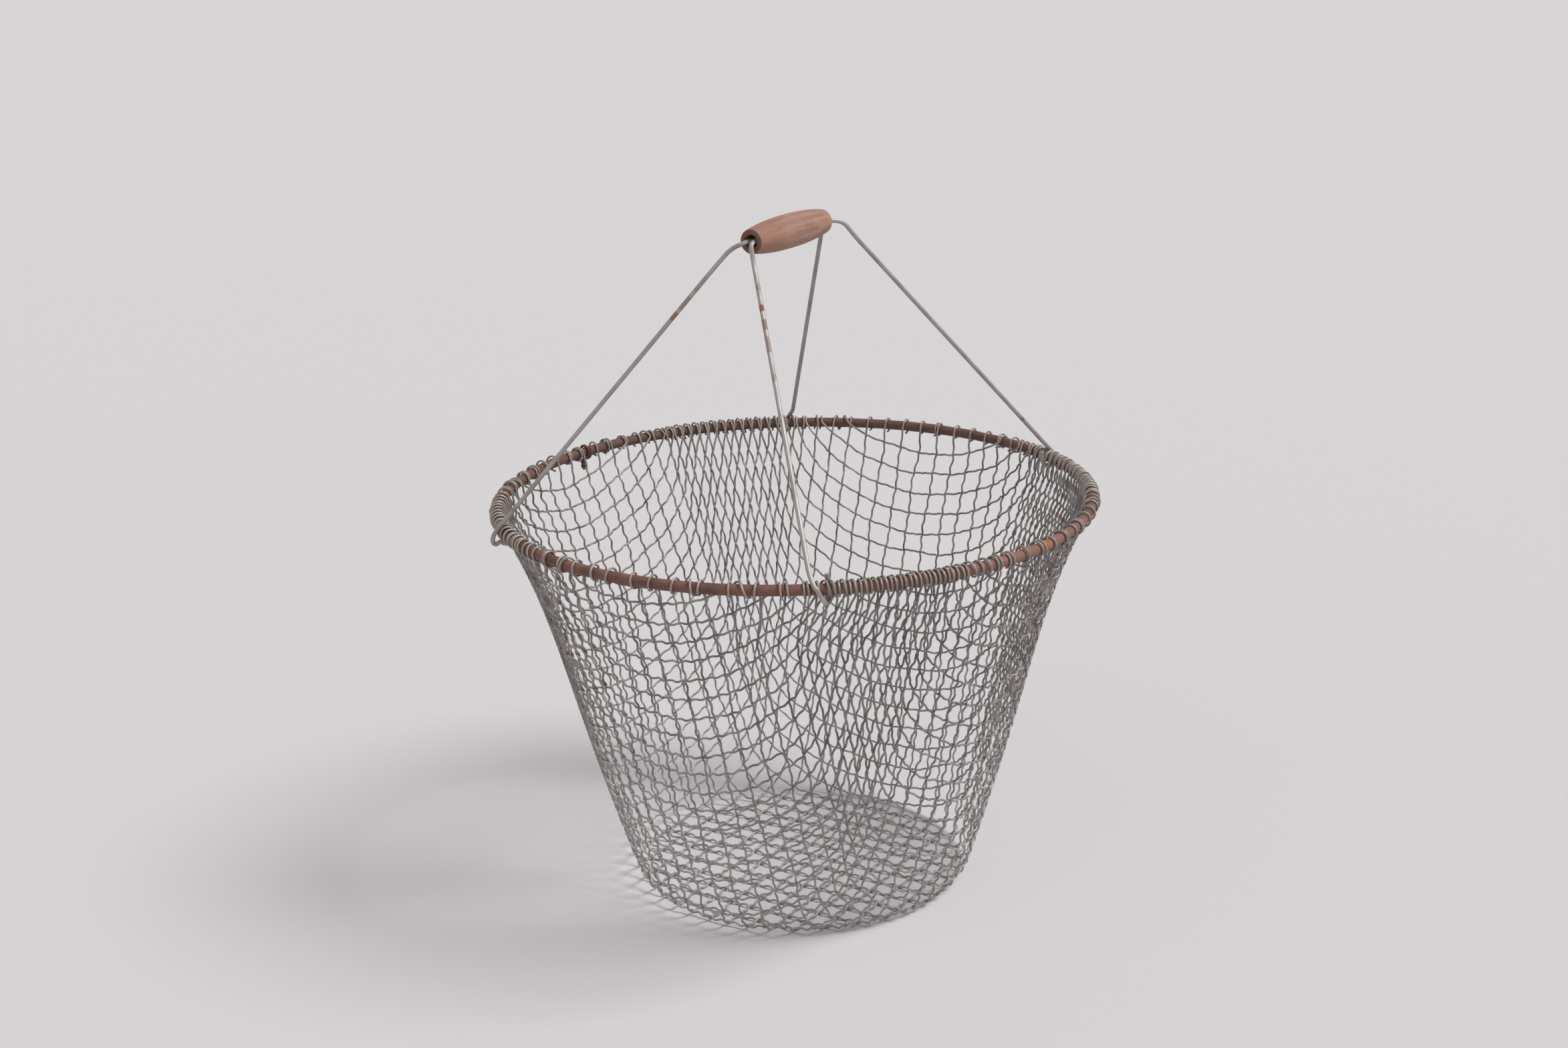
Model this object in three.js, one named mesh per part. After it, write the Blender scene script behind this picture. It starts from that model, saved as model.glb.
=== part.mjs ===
// Wire mesh basket with a rod rim and a two-wire handle that carries a turned wooden grip.
// Millimetres, +Z up. The origin is on the ground under the middle of the bottom, and +X runs
// along the grip, which is also the direction of the warp wires of the mesh.

import * as THREE from "three";

// Driving dimensions, in millimetres and degrees

// Rim rod
const rimRadius = 226.5; // the basket's axis to the rod's centre line
const rimHeight = 307.5; // the ground to the rod's centre line
const rodDiameter = 8;

// Mesh bucket, on the surface that lies between its two layers of wire
const bottomRadius = 130; // where the flat bottom and the wall would meet in a sharp corner
const cornerReach = 12; // how far the rounding of that corner reaches, each way
const wallInset = 6.8; // how far the wall hangs inside a straight flare, at most
const insetPower = 2.4; // the greater, the nearer to the rim it hangs in most
const wireDiameter = 1.6;
const pairsEachSide = 13; // wire pairs on each side of the middle, in each direction
const topRowDrop = 0.4; // the outermost wire below the straight tops of the others, in pitches
const weaveClearance = 0.4; // least gap between the two layers of wire
const crossoverRoom = 2; // from a wire's change of layer to the nearest wire that it crosses
const straightTop = 14; // each wire runs straight up the wall over this length below the rod
const rodClearance = 0.4; // between a wire and the rod
const outerRodAngle = 100; // where an outer wire ends on the rod, from straight outwards over the top
const rodEndsApart = 38; // from there to where an inner wire ends on the rod

// Handle
const bailDiameter = 3.5;
const bailGap = 1.5; // between the two bails inside the grip
const handleRise = 204; // the rod's centre line up to the grip's axis
const hookAngle = 33; // each hook's place on the rim, from the grip's direction
const hookSeat = 0.3; // between a bail's leg and the top of the rod that it bears on
const hookSlack = 2.1; // between the rod and the hook, under the rod and inside it
const hookTip = 6; // the rod's centre line up to the hook's end
const hookRoom = 2; // between a hook and the mesh wires beside it, along the rim
const sidestepRun = 40; // the length of wire that swerves to leave that room
const elbowStart = 2; // the grip's end to the start of a leg's bend
const elbowRadius = 14;

// Grip
const gripLength = 103;
const gripDiameter = 25.4; // at the middle of the barrel
const gripEndDiameter = 18;
const gripEdge = 1.5; // the rounding at the ends
const boreClearance = 0.75; // round the two bails

// Fineness of the solids
const marchStep = 2; // steps along a wire while its path is worked out
const pathTolerance = 0.75; // a wire's straight pieces stay this close to that path
const wireSides = 3;
const rodSegments = 80;
const rodSides = 8;
const bailSides = 8;
const gripSegments = 28;
const barrelSteps = 6;
const hookSteps = 6;
const elbowSteps = 4;
const rodTurnStep = 40; // largest angle between two bends of a wire round the rod

// Sizes that follow from these

const rodRadius = rodDiameter / 2;
const bailRadius = bailDiameter / 2;
const halfTurn = Math.PI / wireSides;
const wireCorner = (wireDiameter / 2) * Math.sqrt(halfTurn / (Math.sin(halfTurn) * Math.cos(halfTurn)));
const wireFlat = wireCorner * Math.cos(halfTurn); // a section of the same area as the round wire
const layerOffset = (wireCorner + wireFlat + weaveClearance) / 2 + pathTolerance;
const meshFloor = layerOffset + wireFlat; // the surface between the layers, over the ground
const wallHeight = rimHeight - meshFloor;
const wallSlant = Math.hypot(rimRadius - bottomRadius, wallHeight);
const sinFlare = (rimRadius - bottomRadius) / wallSlant;
const cosFlare = wallHeight / wallSlant;
const wallTop = wallSlant - straightTop;
const pitch = (bottomRadius + wallTop) / (2 * pairsEachSide - 0.5 + topRowDrop);
const crossoverHalf = pitch / 2 - wireCorner - crossoverRoom;
const gripHeight = rimHeight + handleRise;
const boreRadius = bailDiameter + bailGap / 2 + boreClearance;
const hookDrop = rodRadius + hookSlack + bailRadius; // from the rod's centre line to the hook's
const hookBerth = bailRadius + hookRoom + wireCorner; // from a hook's centre line to a wire's

const zinc = new THREE.MeshStandardMaterial({ color: 0x96938f, roughness: 0.5, metalness: 0.8 });
const rustyIron = new THREE.MeshStandardMaterial({ color: 0x6e4b41, roughness: 0.8, metalness: 0.3 });
const wood = new THREE.MeshStandardMaterial({ color: 0xa87c67, roughness: 0.7, metalness: 0 });

const radians = THREE.MathUtils.degToRad;
const up = new THREE.Vector3(0, 0, 1);

// A direction at an azimuth, tilted up from straight outwards
function outward(azimuth, tilt = 0) {
  const flat = new THREE.Vector3(Math.cos(azimuth), Math.sin(azimuth), 0);
  return flat.multiplyScalar(Math.cos(tilt)).addScaledVector(up, Math.sin(tilt));
}

// Sweeps a section along a path of { at, out }: out is the section's own first axis.
// Each ring is mitred, so the section keeps its width round a bend.
function sweep(path, section) {
  const corners = section.length;
  const last = path.length - 1;
  const directions = [];
  for (let i = 0; i < last; i++) {
    directions.push(path[i + 1].at.clone().sub(path[i].at).normalize());
  }
  const positions = [];
  path.forEach(({ at, out }, i) => {
    const before = directions[Math.max(i - 1, 0)];
    const after = directions[Math.min(i, last - 1)];
    const mitre = before.clone().add(after).normalize();
    const first = out.clone().addScaledVector(before, -out.dot(before)).normalize();
    const second = before.clone().cross(first);
    for (const [a, b] of section) {
      const corner = first.clone().multiplyScalar(a).addScaledVector(second, b);
      corner.addScaledVector(before, -corner.dot(mitre) / before.dot(mitre)).add(at);
      positions.push(corner.x, corner.y, corner.z);
    }
  });
  const triangles = [];
  for (let i = 0; i < last; i++) {
    for (let j = 0; j < corners; j++) {
      const a = i * corners + j;
      const b = i * corners + ((j + 1) % corners);
      triangles.push(a, b, b + corners, a, b + corners, a + corners);
    }
  }
  const end = last * corners;
  for (let j = 1; j < corners - 1; j++) {
    triangles.push(0, j + 1, j, end, end + j, end + j + 1);
  }
  const geometry = new THREE.BufferGeometry();
  geometry.setAttribute("position", new THREE.Float32BufferAttribute(positions, 3));
  geometry.setIndex(triangles);
  return geometry;
}

// A regular section with a flat across its first axis
function regularSection(sides, radius) {
  const points = [];
  for (let i = 0; i < sides; i++) {
    const angle = (2 * Math.PI * (i + 0.5)) / sides;
    points.push([radius * Math.cos(angle), radius * Math.sin(angle)]);
  }
  return points;
}

// The mesh

// A place in the mesh. reach is measured from the bottom corner, up the wall or, below zero,
// inwards along the bottom. layer goes from 1 in the outer layer to -1 in the inner one.
function onBucket(azimuth, reach, layer) {
  const along = Math.min(Math.max(reach / cornerReach, -1), 1);
  const blend = (along + 1) / 2;
  const rest = reach - along * cornerReach;
  const rise = new THREE.Vector2(sinFlare, cosFlare);
  const flat = new THREE.Vector2(1, 0);
  const spot = new THREE.Vector2(bottomRadius, meshFloor);
  spot.addScaledVector(flat, -cornerReach * (1 - blend) ** 2);
  spot.addScaledVector(rise, cornerReach * blend ** 2);
  spot.addScaledVector(reach < 0 ? flat : rise, rest);
  spot.x -= wallInset * Math.sin(Math.PI * (Math.max(reach, 0) / wallSlant) ** insetPower);
  const tangent = flat.multiplyScalar(1 - blend).addScaledVector(rise, blend).normalize();
  const out = outward(azimuth).multiplyScalar(tangent.y).addScaledVector(up, -tangent.x);
  const at = outward(azimuth).multiplyScalar(spot.x).addScaledVector(up, spot.y);
  return { at: at.addScaledVector(out, layer * layerOffset), out };
}

// Half a warp, from the middle of its run to the top of the wall, at a distance from the middle
// warp. The mesh keeps its cell sides while it is drawn into a bucket: on the flattened wall a
// wire turns steadily towards the rim, and is straight once it has run the bottom's radius.
function halfWire(distance) {
  const cornerArc = bottomRadius / sinFlare;
  const places = [];
  let run = 0;
  const spot = new THREE.Vector2();
  if (distance < bottomRadius) {
    const edge = Math.sqrt(bottomRadius ** 2 - distance ** 2);
    const steps = Math.ceil(edge / marchStep);
    for (let i = 0; i < steps; i++) {
      const along = (edge * i) / steps;
      const reach = Math.hypot(along, distance) - bottomRadius;
      places.push({ azimuth: Math.atan2(distance, along), reach, run: along });
    }
    run = edge;
    const turned = Math.asin(distance / bottomRadius) * sinFlare;
    spot.set(Math.cos(turned), Math.sin(turned)).multiplyScalar(cornerArc);
  } else {
    const turned = (Math.PI / 2) * sinFlare;
    spot.set(Math.cos(turned), Math.sin(turned)).multiplyScalar(cornerArc + distance - bottomRadius);
  }
  while (spot.length() - cornerArc < wallTop) {
    places.push({ azimuth: spot.angle() / sinFlare, reach: spot.length() - cornerArc, run });
    run += marchStep;
    const heading = (sinFlare - 1) * Math.acos(Math.min(1, (run - marchStep / 2) / bottomRadius));
    spot.add(new THREE.Vector2(Math.cos(heading), Math.sin(heading)).multiplyScalar(marchStep));
  }
  places.push({ azimuth: spot.angle() / sinFlare, reach: wallTop, run });
  return places;
}

// Moves the end of a half wire along the rim, clear of the hook at hookAt
function sidestep(places, hookAt) {
  const away = (places.at(-1).azimuth - hookAt) * rimRadius;
  const shift = Math.sign(away) * (Math.hypot(away, hookBerth) - Math.abs(away));
  const moving = Math.min(sidestepRun / marchStep, places.length - 1);
  return places.map(({ azimuth, reach, run }, i) => {
    const share = THREE.MathUtils.smoothstep(i, places.length - 1 - moving, places.length - 1);
    return { azimuth: azimuth + (share * shift) / rimRadius, reach, run };
  });
}

// Keeps only the points that a path needs to stay within pathTolerance
function thin(path) {
  const chord = new THREE.Line3(path[0].at, path.at(-1).at);
  const foot = new THREE.Vector3();
  let worst = 0;
  let far = 0;
  path.forEach(({ at }, i) => {
    const gap = chord.closestPointToPoint(at, true, foot).distanceTo(at);
    if (gap > worst) {
      worst = gap;
      far = i;
    }
  });
  if (worst <= pathTolerance) return [path[0], path.at(-1)];
  return [...thin(path.slice(0, far + 1)), ...thin(path.slice(far)).slice(1)];
}

// The bends of a wire's end round the rod, at an azimuth, from where it meets the rod.
// side is 1 for a wire of the outer layer, outside the rod, and -1 for one inside it.
function rodTurn(azimuth, side) {
  const wallTilt = -Math.asin(sinFlare);
  const from = side > 0 ? wallTilt : wallTilt + Math.PI;
  const to = radians(side > 0 ? outerRodAngle : outerRodAngle + rodEndsApart);
  const steps = Math.ceil(Math.abs(to - from) / radians(rodTurnStep));
  const bend = (to - from) / steps;
  const towardsRod = side > 0 ? wireCorner : wireFlat;
  const radius = (rodRadius + rodClearance + towardsRod) / Math.cos(bend / 2);
  const centre = outward(azimuth).multiplyScalar(rimRadius).addScaledVector(up, rimHeight);
  const turn = [];
  for (let i = 0; i <= steps; i++) {
    const off = outward(azimuth, from + i * bend);
    turn.push({ at: centre.clone().addScaledVector(off, radius), out: off.multiplyScalar(side) });
  }
  return turn;
}

// One warp from end to end, in the outer layer at -X and in the inner one at +X
function wirePath(distance, hookAt) {
  const places = sidestep(halfWire(distance), hookAt);
  const half = (side) =>
    places.map(({ azimuth, reach, run }) =>
      onBucket(azimuth, reach, side * Math.min(1, run / crossoverHalf)),
    );
  const mirrored = (path) => {
    const flip = new THREE.Vector3(-1, 1, 1);
    const flipped = (v) => v.clone().multiply(flip);
    return path.map(({ at, out }) => ({ at: flipped(at), out: flipped(out) })).reverse();
  };
  const end = places.at(-1).azimuth;
  const whole = thin([...mirrored(half(1)), ...half(-1)]);
  return [...mirrored(rodTurn(end, 1)), ...whole, ...rodTurn(end, -1)];
}

// Two neighbouring wires as one: the wire goes over the rod at one end and comes back as its
// neighbour.
function wirePair(index, hookAt) {
  const near = (2 * index + 0.5) * pitch;
  const far = near + pitch;
  return [...wirePath(near, hookAt), ...wirePath(far, hookAt).reverse()];
}

function turnedHalfway(path) {
  const flip = new THREE.Vector3(-1, -1, 1);
  return path.map(({ at, out }) => ({ at: at.clone().multiply(flip), out: out.clone().multiply(flip) }));
}

// Warps become wefts by a quarter turn, so where a warp is in one layer the wefts are in the other
function turnedQuarter(path) {
  const turn = (v) => new THREE.Vector3(-v.y, v.x, v.z);
  return path.map(({ at, out }) => ({ at: turn(at), out: turn(out) }));
}

const wireSection = regularSection(wireSides, wireCorner);

function wireMesh(name, path) {
  const mesh = new THREE.Mesh(sweep(path, wireSection), zinc);
  mesh.name = name;
  return mesh;
}

// Names are numbered from one side of the basket to the other
function pairName(kind, place) {
  return `${kind}_pair_${String(place).padStart(2, "0")}`;
}

function makeMesh() {
  const mesh = new THREE.Group();
  const hookOnWarps = radians(hookAngle);
  const hookOnWefts = Math.PI / 2 - hookOnWarps;
  for (let i = 0; i < pairsEachSide; i++) {
    const warp = wirePair(i, hookOnWarps);
    const weft = turnedQuarter(wirePair(i, hookOnWefts));
    const high = pairsEachSide + 1 + i;
    const low = pairsEachSide - i;
    mesh.add(wireMesh(pairName("warp", high), warp));
    mesh.add(wireMesh(pairName("warp", low), turnedHalfway(warp)));
    mesh.add(wireMesh(pairName("weft", high), weft));
    mesh.add(wireMesh(pairName("weft", low), turnedHalfway(weft)));
  }
  return mesh;
}

// The rim rod, a closed hoop

function makeRim() {
  const section = regularSection(rodSides, rodRadius);
  const profile = section.map(([r, z]) => new THREE.Vector2(rimRadius + r, z));
  profile.push(profile[0].clone());
  const hoop = new THREE.Mesh(new THREE.LatheGeometry(profile, rodSegments), rustyIron);
  hoop.rotation.x = Math.PI / 2;
  hoop.position.z = rimHeight;
  hoop.name = "rim_hoop";
  return hoop;
}

// The handle: two bails, each one length of wire, side by side through the grip

// One leg of a bail, from the grip's end to the tip of its hook
function bailLeg() {
  const rod = outward(radians(hookAngle)).multiplyScalar(rimRadius).addScaledVector(up, rimHeight);
  const seat = rodRadius + hookSeat + bailRadius;
  const lane = bailRadius + bailGap / 2;
  const bendStart = gripLength / 2 + elbowStart;
  const corner = new THREE.Vector3(bendStart, lane, gripHeight);
  const along = new THREE.Vector3(1, 0, 0);
  const leg = new THREE.Vector3();
  const level = new THREE.Vector3();
  let bend = 0;
  let touch = 0;
  const settlingPasses = 6; // the bend moves the corner, which turns the leg again
  for (let i = 0; i < settlingPasses; i++) {
    const away = rod.clone().sub(corner);
    level.set(away.x, away.y, 0).normalize();
    const back = Math.atan2(-away.z, -away.dot(level));
    touch = back - Math.acos(seat / away.length());
    leg.copy(level).multiplyScalar(Math.sin(touch)).addScaledVector(up, -Math.cos(touch));
    bend = along.angleTo(leg);
    corner.x = bendStart + elbowRadius * Math.tan(bend / 2);
  }
  const points = [];
  const inside = along.clone().cross(leg).cross(along).normalize();
  const bow = new THREE.Vector3(bendStart, lane, gripHeight).addScaledVector(inside, elbowRadius);
  const elbowOut = elbowRadius / Math.cos(bend / elbowSteps / 2);
  points.push(new THREE.Vector3(bendStart, lane, gripHeight));
  for (let i = 0; i < elbowSteps; i++) {
    const angle = ((i + 0.5) * bend) / elbowSteps;
    const point = bow.clone().addScaledVector(along, elbowOut * Math.sin(angle));
    points.push(point.addScaledVector(inside, -elbowOut * Math.cos(angle)));
  }
  const sweepAngle = touch + Math.PI;
  for (let i = 0; i <= hookSteps; i++) {
    const share = i / hookSteps;
    const angle = touch - share * sweepAngle;
    const open = Math.min(1, (share * sweepAngle) / (touch + Math.PI / 2));
    const radius = THREE.MathUtils.lerp(seat, hookDrop, open);
    const point = rod.clone().addScaledVector(level, radius * Math.cos(angle));
    points.push(point.addScaledVector(up, radius * Math.sin(angle)));
  }
  points.push(points.at(-1).clone().addScaledVector(up, hookTip));
  return points;
}

// Gives each point of a path a section direction that turns as little as it can
function carried(points, start) {
  const out = start.clone();
  return points.map((at, i) => {
    const before = points[Math.max(i - 1, 0)];
    const after = points[Math.min(i + 1, points.length - 1)];
    const direction = after.clone().sub(before).normalize();
    out.addScaledVector(direction, -out.dot(direction)).normalize();
    return { at, out: out.clone() };
  });
}

function makeBail(name, side) {
  const leg = bailLeg();
  const near = leg.map((p) => new THREE.Vector3(p.x, side * p.y, p.z));
  const far = leg.map((p) => new THREE.Vector3(-p.x, side * p.y, p.z)).reverse();
  const path = carried([...far, ...near], new THREE.Vector3(0, side, 0));
  const bail = new THREE.Mesh(sweep(path, regularSection(bailSides, bailRadius)), zinc);
  bail.name = name;
  return bail;
}

// A turned barrel with a bore through it, made upright and laid along X
function makeGrip() {
  const half = gripLength / 2;
  const endRadius = gripEndDiameter / 2;
  const swell = (gripDiameter - gripEndDiameter) / 2;
  const barrelHalf = half - gripEdge;
  const profile = [new THREE.Vector2(boreRadius, half), new THREE.Vector2(boreRadius, -half)];
  profile.push(new THREE.Vector2(endRadius - gripEdge, -half));
  for (let i = 0; i <= barrelSteps; i++) {
    const along = (2 * i) / barrelSteps - 1;
    profile.push(new THREE.Vector2(endRadius + swell * (1 - along ** 2), along * barrelHalf));
  }
  profile.push(new THREE.Vector2(endRadius - gripEdge, half), profile[0].clone());
  const grip = new THREE.Mesh(new THREE.LatheGeometry(profile, gripSegments), wood);
  grip.rotation.z = -Math.PI / 2;
  grip.position.z = gripHeight;
  grip.name = "wooden_grip";
  return grip;
}

const basket = new THREE.Group();
basket.add(makeMesh());
basket.add(makeRim());
basket.add(makeBail("handle_bail_1", 1));
basket.add(makeBail("handle_bail_2", -1));
basket.add(makeGrip());

export default basket;
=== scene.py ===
# %% [markdown]
# # A wire mesh basket with a wooden grip
#
# The real object is a bucket of galvanised wire mesh. A square net is drawn up into a bucket, and
# every wire end is wound over a hoop of rusty iron rod. Two bails of thicker wire hook under the
# hoop and run side by side through one turned wooden grip.
#
# The solids of the part are loaded first. They carry the sizes and the joints. This lesson replaces
# each of them with a piece that has the real form: round crimped wires that are woven, wound ends,
# bent hooks and turned wood.

# %% Load the solids that carry the sizes
import math
import random

import bpy
from mathutils import Matrix, Vector
from mathutils.geometry import interpolate_bezier


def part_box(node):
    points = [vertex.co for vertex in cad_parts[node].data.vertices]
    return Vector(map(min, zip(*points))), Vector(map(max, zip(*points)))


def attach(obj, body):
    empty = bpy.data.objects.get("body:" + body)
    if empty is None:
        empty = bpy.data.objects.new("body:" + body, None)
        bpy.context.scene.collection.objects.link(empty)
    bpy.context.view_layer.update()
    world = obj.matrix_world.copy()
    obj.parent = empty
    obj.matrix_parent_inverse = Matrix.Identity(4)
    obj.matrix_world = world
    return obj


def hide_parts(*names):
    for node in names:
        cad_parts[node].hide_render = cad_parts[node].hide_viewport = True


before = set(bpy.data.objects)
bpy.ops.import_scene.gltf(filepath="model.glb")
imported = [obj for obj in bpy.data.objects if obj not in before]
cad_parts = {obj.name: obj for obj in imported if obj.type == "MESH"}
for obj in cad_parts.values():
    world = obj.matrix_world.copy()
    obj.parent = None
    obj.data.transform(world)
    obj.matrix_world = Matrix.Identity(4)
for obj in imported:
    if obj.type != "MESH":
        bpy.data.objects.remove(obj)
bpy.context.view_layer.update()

# %% [markdown]
# ## The view
#
# A picture of a product can be matched by eye, by moving the camera until it looks right, or by
# working the camera out. Here it was worked out from the two circles of the basket: the rim and the
# edge of the bottom. That gives its place, its pitch and a slight roll. The three directions become
# the columns of the camera's matrix, because a camera looks along its own -Z.

# %% Place the camera
UP = Vector((0, 0, 1))


def outward(azimuth):
    """The level direction at an azimuth, away from the basket's axis."""
    return Vector((math.cos(azimuth), math.sin(azimuth), 0))


camera_place = Vector((-1.3435, -0.8293, 0.7674))
camera_heading = math.radians(32)
camera_pitch = math.radians(17)
camera_roll = 0.0269
level_ahead = outward(camera_heading)
level_right = outward(camera_heading - math.pi / 2)
view_ahead = level_ahead * math.cos(camera_pitch) - UP * math.sin(camera_pitch)
view_up = level_ahead * math.sin(camera_pitch) + UP * math.cos(camera_pitch)
image_right = level_right * math.cos(camera_roll) - view_up * math.sin(camera_roll)
image_up = level_right * math.sin(camera_roll) + view_up * math.cos(camera_roll)

bpy.ops.object.select_all(action="DESELECT")
bpy.ops.object.camera_add(location=camera_place)
camera = bpy.context.object
turn = Matrix((image_right, image_up, -view_ahead)).transposed()
camera.matrix_world = Matrix.Translation(camera_place) @ turn.to_4x4()
camera.data.sensor_width = 36
camera.data.lens = 49.1
bpy.context.scene.camera = camera
print("camera at", tuple(camera_place), "lens", camera.data.lens)

# %% [markdown]
# ## Floor and light
#
# A product is shown well on a plain pale floor under soft light. Lamps with an area fade with
# distance, so the far floor would go dark. Suns don't fade, and a wide angle makes their shadows
# soft, as a large window does. The brighter one comes from the right of the picture. The world adds
# even light from all round, and shows as a pale backdrop to the camera and in reflections.

# %% Lay the floor and light it
bpy.context.scene.view_settings.view_transform = "Standard"
floor_radius = 60
floor_colour = (0.66, 0.645, 0.65, 1)

bpy.ops.object.select_all(action="DESELECT")
bpy.ops.mesh.primitive_circle_add(vertices=96, radius=floor_radius, fill_type="NGON")
floor = bpy.context.object
floor.name = "floor"
floor_paint = bpy.data.materials.new("pale_floor")
floor_paint.use_nodes = True
floor_shader = floor_paint.node_tree.nodes["Principled BSDF"]
floor_shader.inputs["Base Color"].default_value = floor_colour
floor_shader.inputs["Roughness"].default_value = 0.9
floor.data.materials.append(floor_paint)
print("floor of radius", floor_radius, "m")


def add_sun(name, direction, strength, softness):
    """A sun that shines along a direction; softness is the angle that it fills, in degrees."""
    facing = direction.to_track_quat("-Z", "Y").to_euler()
    bpy.ops.object.light_add(type="SUN", rotation=facing)
    sun = bpy.context.object
    sun.name = name
    sun.data.energy = strength
    sun.data.angle = math.radians(softness)
    return sun


from_right = -level_right * 0.9 + level_ahead * 0.15 - UP * 1.2
from_left_behind = level_right * 0.6 + level_ahead * 0.8 - UP * 0.7
add_sun("key", from_right, strength=2.5, softness=24)
add_sun("fill", from_left_behind, strength=0.35, softness=70)

# %% Let the world light the object evenly and show as a pale backdrop
world = bpy.data.worlds.new("studio")
bpy.context.scene.world = world
world.use_nodes = True
nodes = world.node_tree.nodes
links = world.node_tree.links
backdrop_colour = (0.72, 0.705, 0.71, 1)
studio_light = nodes["Background"]
studio_light.inputs["Color"].default_value = (1, 0.985, 0.975, 1)
studio_light.inputs["Strength"].default_value = 0.3
backdrop = nodes.new("ShaderNodeBackground")
backdrop.inputs["Color"].default_value = backdrop_colour
path = nodes.new("ShaderNodeLightPath")
seen = path.outputs["Is Camera Ray"]
for ray in ("Is Glossy Ray", "Is Transmission Ray"):
    also = nodes.new("ShaderNodeMath")
    also.operation = "MAXIMUM"
    links.new(seen, also.inputs[0])
    links.new(path.outputs[ray], also.inputs[1])
    seen = also.outputs[0]
either = nodes.new("ShaderNodeMixShader")
links.new(seen, either.inputs["Fac"])
links.new(studio_light.outputs[0], either.inputs[1])
links.new(backdrop.outputs[0], either.inputs[2])
links.new(either.outputs[0], nodes["World Output"].inputs["Surface"])

# %% [markdown]
# ## Writing finishes as sums
#
# A finish is a graph of nodes. Wiring it by hand takes many lines for one sum, so a small class
# wraps a node's output and lets Python's own operators add the Math nodes. Any other node comes
# from its one method.

# %% A socket that can be used in sums


class Shade:
    """The output of a shader node, to be used in Python expressions."""

    def __init__(self, tree, socket=None):
        self.tree = tree
        self.socket = socket

    def node(self, kind, sockets, output=0, **settings):
        """Adds a node: its settings first, then its sockets' values or links."""
        made = self.tree.nodes.new("ShaderNode" + kind)
        for name, value in settings.items():
            setattr(made, name, value)
        for name, value in sockets.items():
            if isinstance(value, Shade):
                self.tree.links.new(value.socket, made.inputs[name])
            else:
                made.inputs[name].default_value = value
        return Shade(self.tree, made.outputs[output])

    def math(self, operation, first, second):
        return self.node("Math", {0: first, 1: second}, operation=operation)

    def __add__(self, other):
        return self.math("ADD", self, other)

    def __sub__(self, other):
        return self.math("SUBTRACT", self, other)

    def __rsub__(self, other):
        return self.math("SUBTRACT", other, self)

    def __mul__(self, other):
        return self.math("MULTIPLY", self, other)

    __radd__ = __add__
    __rmul__ = __mul__


def step_between(value, low, high):
    """A mask that goes smoothly from 0 where a value is low to 1 where it is high."""
    limits = {"Value": value, "From Min": low, "From Max": high}
    return value.node("MapRange", limits, interpolation_type="SMOOTHSTEP")


def noise(place, scale, detail=3, roughness=0.55):
    """Cloudy noise from 0 to 1, at a scale in patches to the metre."""
    sockets = {"Vector": place, "Scale": scale, "Detail": detail, "Roughness": roughness}
    return place.node("TexNoise", sockets)


def mix_colours(mask, first, second):
    """The first colour where a mask is 0, the second where it is 1."""
    return mask.node("Mix", {"Factor": mask, 6: first, 7: second}, output=2, data_type="RGBA")


def stretched(place, scale):
    """Coordinates scaled by a different amount along each axis."""
    return place.node("Mapping", {"Vector": place, "Scale": scale})


def near(place, spot, inner, outer):
    """A mask that is 1 within inner of a spot and 0 beyond outer, in metres."""
    away = place.node("VectorMath", {0: place, 1: spot}, output="Value", operation="DISTANCE")
    return 1 - step_between(away, inner, outer)


# %% Start a finish on the coordinates that all of them read


def new_finish(name):
    """A material, its shader, and its object coordinates as a Shade."""
    material = bpy.data.materials.new(name)
    material.use_nodes = True
    tree = material.node_tree
    shader = tree.nodes["Principled BSDF"]
    place = Shade(tree).node("TexCoord", {}, output="Object")
    return material, shader, place


def feed(shader, name, shade):
    """Links a Shade to a socket of the shader."""
    shade.tree.links.new(shade.socket, shader.inputs[name])


def bumped(height, strength, distance):
    """A normal from a height, in metres at full strength."""
    return height.node("Bump", {"Height": height, "Strength": strength, "Distance": distance})


# %% [markdown]
# ## Weathered zinc
#
# Galvanised wire is bright when new. Out of doors the zinc turns a matt grey, blotched by paler
# bloom and darkened by dirt in places, with a faint brown where it wears thin. Towards the ground it
# is paler, and at the rim a paler, warmer tone is painted light on the wound ends. A plain metal
# with one grey would look like new steel, so noise of several sizes moves the colour and the gloss,
# and the finest also roughens the surface. On the bails the zinc is worn through in spots, so the
# finish takes a list of them: each is a ragged patch about a place. One patch, where a leg enters
# the grip, is a painted reflection of the wood rather than rust.

# %% The finish of the mesh wires
rim_height = 0.3075
# painted light: a paler, warmer tone over the last few millimetres below the rim
painted_rim_light_depth = 0.006
# the wires are paler towards the ground: fully up to the first height, not at all from the second
paler_low_down_up_to = 0.05
paler_low_down_gone_from = 0.2
paler_low_down_share = 0.5


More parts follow.
